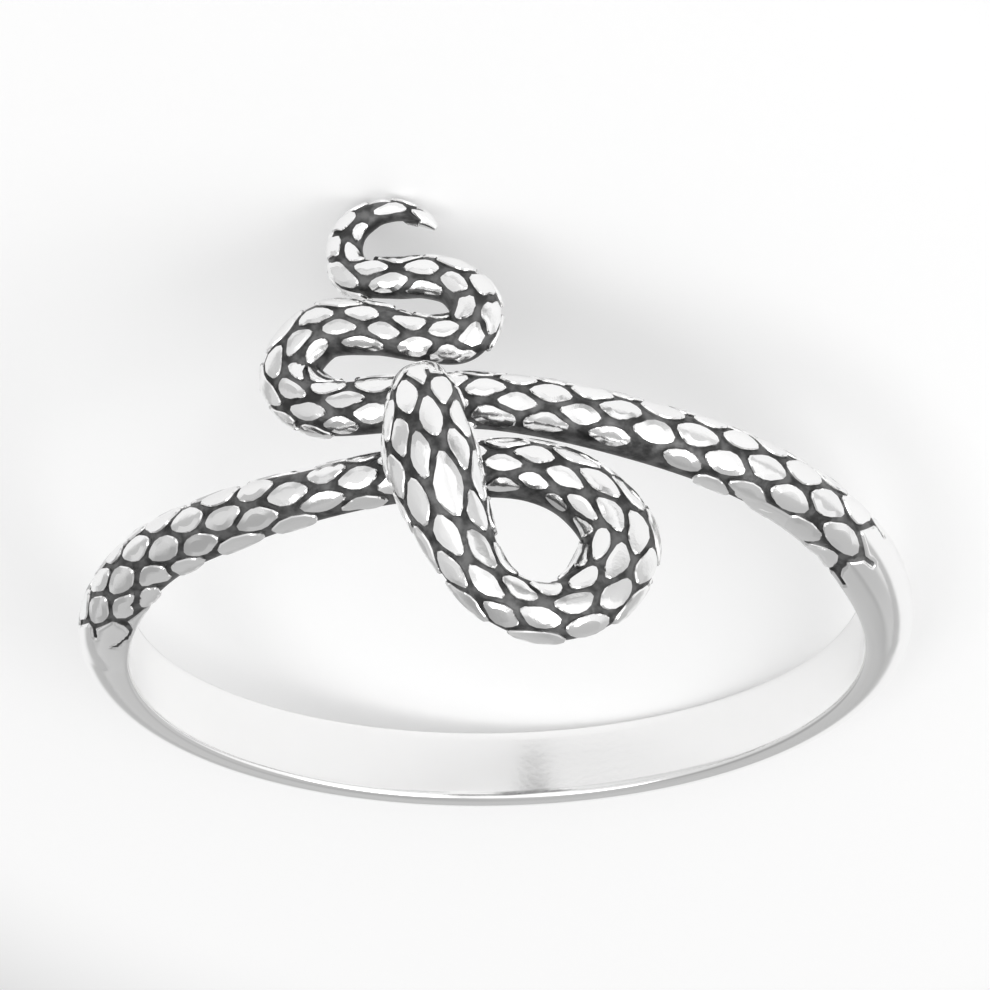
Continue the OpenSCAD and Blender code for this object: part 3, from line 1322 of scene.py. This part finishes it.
class Snake:
    """One end of the snake: its blackened skin and the scales raised on it, in lengths.

    Attributes:
        around: Faces round the skin.
        spans_per_step: Faces along it from one place to the next.
        under: How far its plain parts lie under the route's skin.
        depth: Depth of the grooves under them.
        slope: Width of the slope between the two.
        worn_skins: How many BORE_SKINs from the finger the skin is worn bright.
        least_radius: Radius under which a scale is left out.
        stamp: The shape of a scale.
    """

    around = 96
    spans_per_step = 16
    under = 0.002
    depth = 0.09
    slope = 0.06
    worn_skins = 4.2
    least_radius = 0.07
    stamp = ScaleStamp()

    def __init__(self, field: ScaleField, lengths: tuple[BodyLength, ...]) -> None:
        """Plans one end of the snake.

        Args:
            field: Its scales.
            lengths: Its lengths.
        """
        self.field = field
        self.route = field.route
        self.lengths = lengths

    def _skin(self, place: np.ndarray, turn: np.ndarray) -> tuple[np.ndarray, np.ndarray]:
        """Gives the skin's shape and where it is bright.

        Args:
            place: Places along the route.
            turn: Turns round the body.

        Returns:
            The points, and their polish from 0 to 1.
        """
        plain = np.clip(self.field.plain(place, turn) / self.slope + 0.5, 0, 1)
        points = self.route.skin(place, turn, -self.under - self.depth * (1 - plain))
        worn = np.hypot(points[:, 0], points[:, 2]) < FINGER_R + self.worn_skins * BORE_SKIN
        return points, np.maximum(plain, worn)

    def _build_skin(self, length: BodyLength, shop: Workshop) -> None:
        """Builds the skin of one length.

        Args:
            length: The length.
            shop: Where the piece is finished.
        """
        spans = (round((length.end - length.start) * self.spans_per_step), self.around)
        mesh = wrapped_grid(spans, (length.start, length.end), self._skin)
        shop.hand_in(length.name + "_skin", mesh, Finish.BLACKENED)

    def _build_scales(self, length: BodyLength, shop: Workshop) -> None:
        """Builds the scales of one length.

        Args:
            length: The length.
            shop: Where the piece is finished.
        """
        field, stamp = self.field, self.stamp.mesh()
        mesh = bmesh.new()
        foot = mesh.verts.layers.float.new("foot")
        tone = mesh.verts.layers.float.new("tone")
        flat = np.array([vert.co for vert in stamp.vertices])
        theta, share = np.arctan2(flat[:, 1], flat[:, 0]), np.hypot(flat[:, 0], flat[:, 1])
        low = flat[:, 2] < 0
        inside = (field.place >= length.start) & (field.place < length.end) & (field.kind == Kind.SCALE.value)
        for scale in np.flatnonzero(inside):
            place, turn, least = field.outline(scale, theta, share)
            if least < self.least_radius:
                continue
            ridge = field.rng.random() ** 2
            points = self.route.skin(place, turn, self.stamp.height(theta, share, low, ridge))
            known = len(mesh.verts)
            mesh.from_mesh(stamp)
            mesh.verts.ensure_lookup_table()
            shade = field.rng.random()
            for vert, point, is_low in zip(mesh.verts[known:], points, low):
                vert.co = point
                vert[foot] = float(is_low)
                vert[tone] = shade
        shop.hand_in(length.name + "_scales", mesh, Finish.SCALE)

    def build(self, shop: Workshop) -> None:
        """Builds the lengths.

        Args:
            shop: Where the pieces are finished.
        """
        for length in self.lengths:
            self._build_skin(length, shop)
            self._build_scales(length, shop)


HEAD_CHART = ScaleChart(
    seen=(
        (82, 609), (97, 610), (125, 607), (150, 597), (99, 579), (120, 581), (154, 577), (113, 552),
        (134, 547), (163, 549), (190, 569), (158, 521), (187, 519), (198, 547), (220, 517), (241, 545),
        (218, 496), (253, 489), (255, 520), (286, 493), (325, 471), (358, 477), (322, 503), (298, 524),
        (360, 507), (406, 398), (443, 388), (432, 417), (399, 435), (421, 452), (460, 446), (395, 475),
        (448, 479), (416, 500), (476, 508), (448, 534), (461, 416), (480, 477), (495, 521), (386, 422),
        (400, 517), (481, 548), (451, 573), (423, 548), (486, 584), (520, 588), (548, 587), (506, 559),
        (500, 616), (539, 618), (465, 602), (540, 640), (577, 603), (618, 594), (588, 627), (638, 603),
        (619, 560), (640, 533), (649, 566), (613, 512), (600, 544), (584, 577), (600, 479), (634, 492),
        (658, 527), (565, 476), (531, 481), (505, 485), (504, 462), (532, 453), (508, 441), (577, 454),
        (581, 506), (581, 526), (580, 559), (557, 503), (531, 500),
    ),
    joined=((84, 636), (109, 637), (143, 620), (419, 369)),
    bare=(
        (518, 566), (543, 578), (566, 573), (505, 545), (520, 500), (548, 510), (570, 528),
    ),
    large=((448, 479),),
    first=4,
    last=37,
    around=((0, 6), (32, 8)),
    covered=(16.0, 19.2),
)

TAIL_CHART = ScaleChart(
    seen=(
        (486, 386), (517, 402), (493, 414), (551, 392), (582, 414), (546, 422), (594, 391), (621, 409),
        (611, 437), (518, 377), (654, 431), (664, 408), (700, 434), (712, 420), (681, 462), (727, 463),
        (742, 437), (768, 466), (773, 446), (805, 471), (833, 479), (746, 493), (790, 498), (829, 503),
        (710, 486), (763, 515), (801, 530), (842, 537), (859, 510), (817, 555), (375, 383), (343, 399),
        (369, 413), (338, 426), (307, 412), (289, 390), (284, 421), (267, 394), (313, 433), (328, 387),
        (297, 368), (316, 376), (272, 362), (298, 338), (319, 347), (280, 331), (316, 316), (339, 325),
        (360, 343), (341, 300), (360, 312), (383, 330), (408, 321), (419, 345), (444, 329), (449, 353),
        (473, 335), (492, 314), (466, 305), (453, 280), (484, 283), (458, 262), (423, 266), (390, 281),
        (403, 257), (422, 288), (369, 267), (352, 254), (361, 230), (332, 247), (338, 272), (343, 220),
        (388, 209), (372, 203),
    ),
    joined=((877, 541), (850, 574), (888, 533), (423, 216)),
    bare=(
        (371, 234), (384, 222), (402, 219), (366, 250), (400, 303), (437, 303), (350, 354), (385, 360),
        (328, 364),
    ),
    large=((388, 209),),
    first=9,
    last=50,
    around=((0, 6), (40, 5), (45, 4)),
    covered=(23.2, 25.8),
)


def snakes() -> tuple[Snake, Snake]:
    """Plans the snake's two ends.

    Returns:
        The end from the left arm to the head, and the end from the right arm to the tail.
    """
    to_head = (
        BodyLength("left_arm", 1.10, 18.0),
        BodyLength("loop", 17.9, 32.0),
        BodyLength("head", 31.9, HEAD_ROUTE.end),
    )
    to_tail = (
        BodyLength("right_arm", 2.60, 24.0),
        BodyLength("tail", 23.9, 44.0),
        BodyLength("tail_tip", 43.9, TAIL_ROUTE.end),
    )
    return (
        Snake(ScaleField(HEAD_ROUTE, HEAD_CHART, seed=1), to_head),
        Snake(ScaleField(TAIL_ROUTE, TAIL_CHART, seed=2), to_tail),
    )


@dataclass(frozen=True)
class Softbox:
    """A square studio light that points at the ring.

    Attributes:
        name: Its name.
        azimuth: Turn round the ring, 0 at the camera's side.
        elevation: Angle over the floor.
        distance: Distance in metres.
        size: Side in metres.
        power: Power in watts.
    """

    name: str
    azimuth: float
    elevation: float
    distance: float
    size: float
    power: float

    def build(self) -> None:
        """Puts the light in place."""
        data = bpy.data.lights.new(self.name, "AREA")
        data.shape = "SQUARE"
        data.size = self.size
        data.energy = self.power
        light = in_scene(self.name, data)
        around, up = math.radians(self.azimuth), math.radians(self.elevation)
        way = Vector((math.sin(around) * math.cos(up), -math.cos(around) * math.cos(up), math.sin(up)))
        light.location = way * self.distance
        light.rotation_euler = way.to_track_quat("Z", "Y").to_euler()


@dataclass(frozen=True)
class Tent:
    """The white tent round the ring, with greyer cloths that give the silver its shades.

    Attributes:
        down: The way that is down in the picture.
        right: The way that is right in the picture.
        down_stops: Brightness from the picture's top, 0, to its bottom, 1.
        right_stops: Brightness from its left side to its right.
        strength: Brightness of the whole.
    """

    down: tuple[float, float, float] = (-0.171, 0.629, 0.758)
    right: tuple[float, float, float] = (-0.985, -0.109, -0.132)
    down_stops: Stops = ((0.0, 0.9), (0.55, 1.0), (0.70, 0.85), (0.80, 0.5), (1.0, 0.42))
    right_stops: Stops = (
        (0.0, 0.55), (0.28, 0.7), (0.33, 0.95), (0.50, 0.9), (0.60, 0.75), (0.66, 0.95), (1.0, 0.8),
    )
    strength: float = 1.35

    def build(self) -> None:
        """Sets the world's brightness for each direction."""
        world = bpy.data.worlds.new("tent")
        bench = NodeBench(world)
        way = bench.add("ShaderNodeTexCoord", {}, [])
        down, right = (
            bench.ramp(bench.measure("DOT_PRODUCT", [way, axis]) * 0.5 + 0.5, stops)
            for axis, stops in ((self.down, self.down_stops), (self.right, self.right_stops))
        )
        light = bench.add("ShaderNodeBackground", {}, {"Color": down * right, "Strength": self.strength})
        bench.add("ShaderNodeOutputWorld", {}, {"Surface": light})
        bpy.context.scene.world = world


@dataclass(frozen=True)
class Studio:
    """A pale floor in a white tent, with soft lights."""

    floor_size: float = 0.8
    tent: Tent = Tent()
    lights: tuple[Softbox, ...] = (
        Softbox("key_light", azimuth=-60, elevation=45, distance=0.20, size=0.12, power=0.10),
        Softbox("fill_light", azimuth=50, elevation=60, distance=0.22, size=0.10, power=0.06),
    )

    def build(self) -> None:
        """Builds the floor, the lights and the tent."""
        mesh = bmesh.new()
        bmesh.ops.create_grid(mesh, x_segments=1, y_segments=1, size=self.floor_size / 2)
        bmesh.ops.translate(mesh, verts=mesh.verts, vec=(0, 0, CAD_BOX[0][2]))
        data = bpy.data.meshes.new("floor")
        mesh.to_mesh(data)
        mesh.free()
        data.materials.append(PaleFloor().material())
        floor = in_scene("floor", data)
        for light in self.lights:
            light.build()
        self.tent.build()
        bpy.context.scene.view_settings.view_transform = "Standard"


def main() -> None:
    """Builds the ring, its light and its camera."""
    logging.basicConfig(level=logging.INFO, format="%(name)s %(message)s")
    VIEW.build()
    shop = Workshop()
    Band().build(shop)
    for snake in snakes():
        snake.build(shop)
    Studio().build()


if __name__ == "__main__":
    main()
